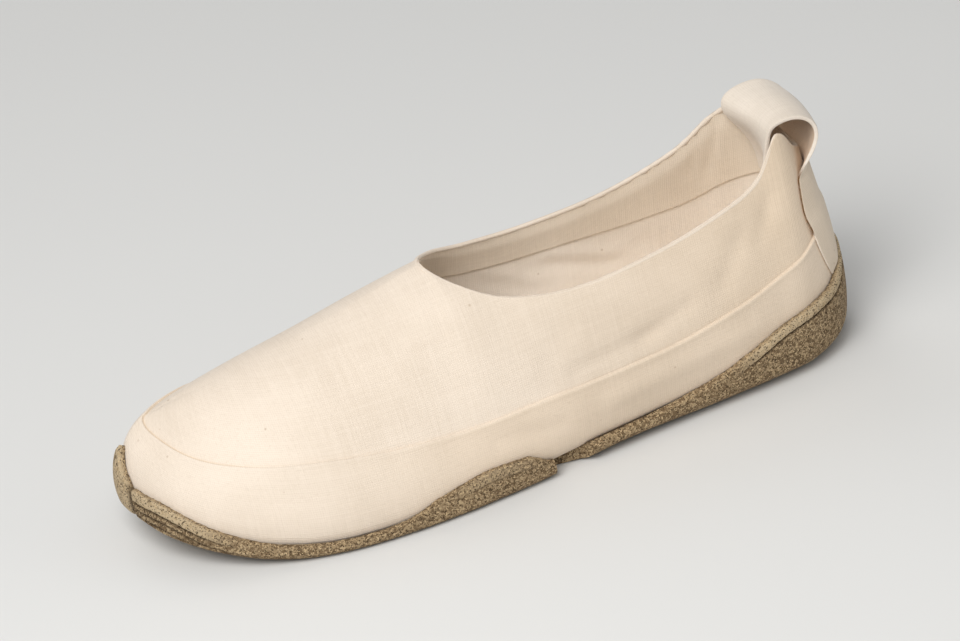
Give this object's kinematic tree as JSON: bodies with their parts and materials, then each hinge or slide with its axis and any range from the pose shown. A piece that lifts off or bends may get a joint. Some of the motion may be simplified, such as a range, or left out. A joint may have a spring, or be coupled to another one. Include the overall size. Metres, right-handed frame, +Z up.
{
  "type": "slip-on shoe",
  "caption": "Low canvas slip-on shoe for the left foot with a wide collar, a heel strip that ends in a pull loop, and a thin wrapped fibre sole with a cut-out waist.",
  "frame": {"origin": "middle of the shoe's bounding box, on the floor", "axes": "+X from the heel to the toe, +Y to the outer side of the left foot, +Z up"},
  "size_m": [0.2832, 0.0992, 0.0988],
  "materials": {
    "natural_canvas": "matte plain weave, cream",
    "dark_board": "matte, near-black navy",
    "fibre_composite": "matte, tan with golden flecks and dark specks",
    "canvas_strip": "matte, cream, a little lighter than the upper"
  },
  "bodies": {
    "root": {"upper": "natural_canvas", "insole": "dark_board", "outsole": "fibre_composite", "heel_strip": "canvas_strip"}
  },
  "joints": []
}
